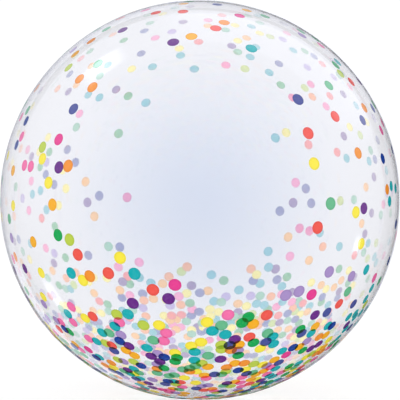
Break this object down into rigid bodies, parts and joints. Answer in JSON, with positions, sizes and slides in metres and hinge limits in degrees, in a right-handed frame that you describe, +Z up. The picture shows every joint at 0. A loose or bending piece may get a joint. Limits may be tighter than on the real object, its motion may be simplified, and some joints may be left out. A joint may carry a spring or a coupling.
{
  "type": "polka dot bubble balloon",
  "caption": "Clear stretch-film bubble balloon printed with many small confetti dots, sealed and blown up round, with a welded seam and a knotted neck folded back beneath it.",
  "frame": {"origin": "on the surface that the balloon rests on, straight below the middle of the ball", "axes": "+Z up; -Y towards the viewer of the printed front; the weld seam lies in the XZ plane; the knotted neck lies back along +Y"},
  "size_m": [0.6124, 0.61, 0.6097],
  "materials": {
    "clear_film": "clear glossy stretch film with a faint blue-lavender cast, printed on the outside with flush confetti dots in about fourteen colours"
  },
  "bodies": {
    "root": {"balloon": "clear_film"}
  },
  "joints": []
}
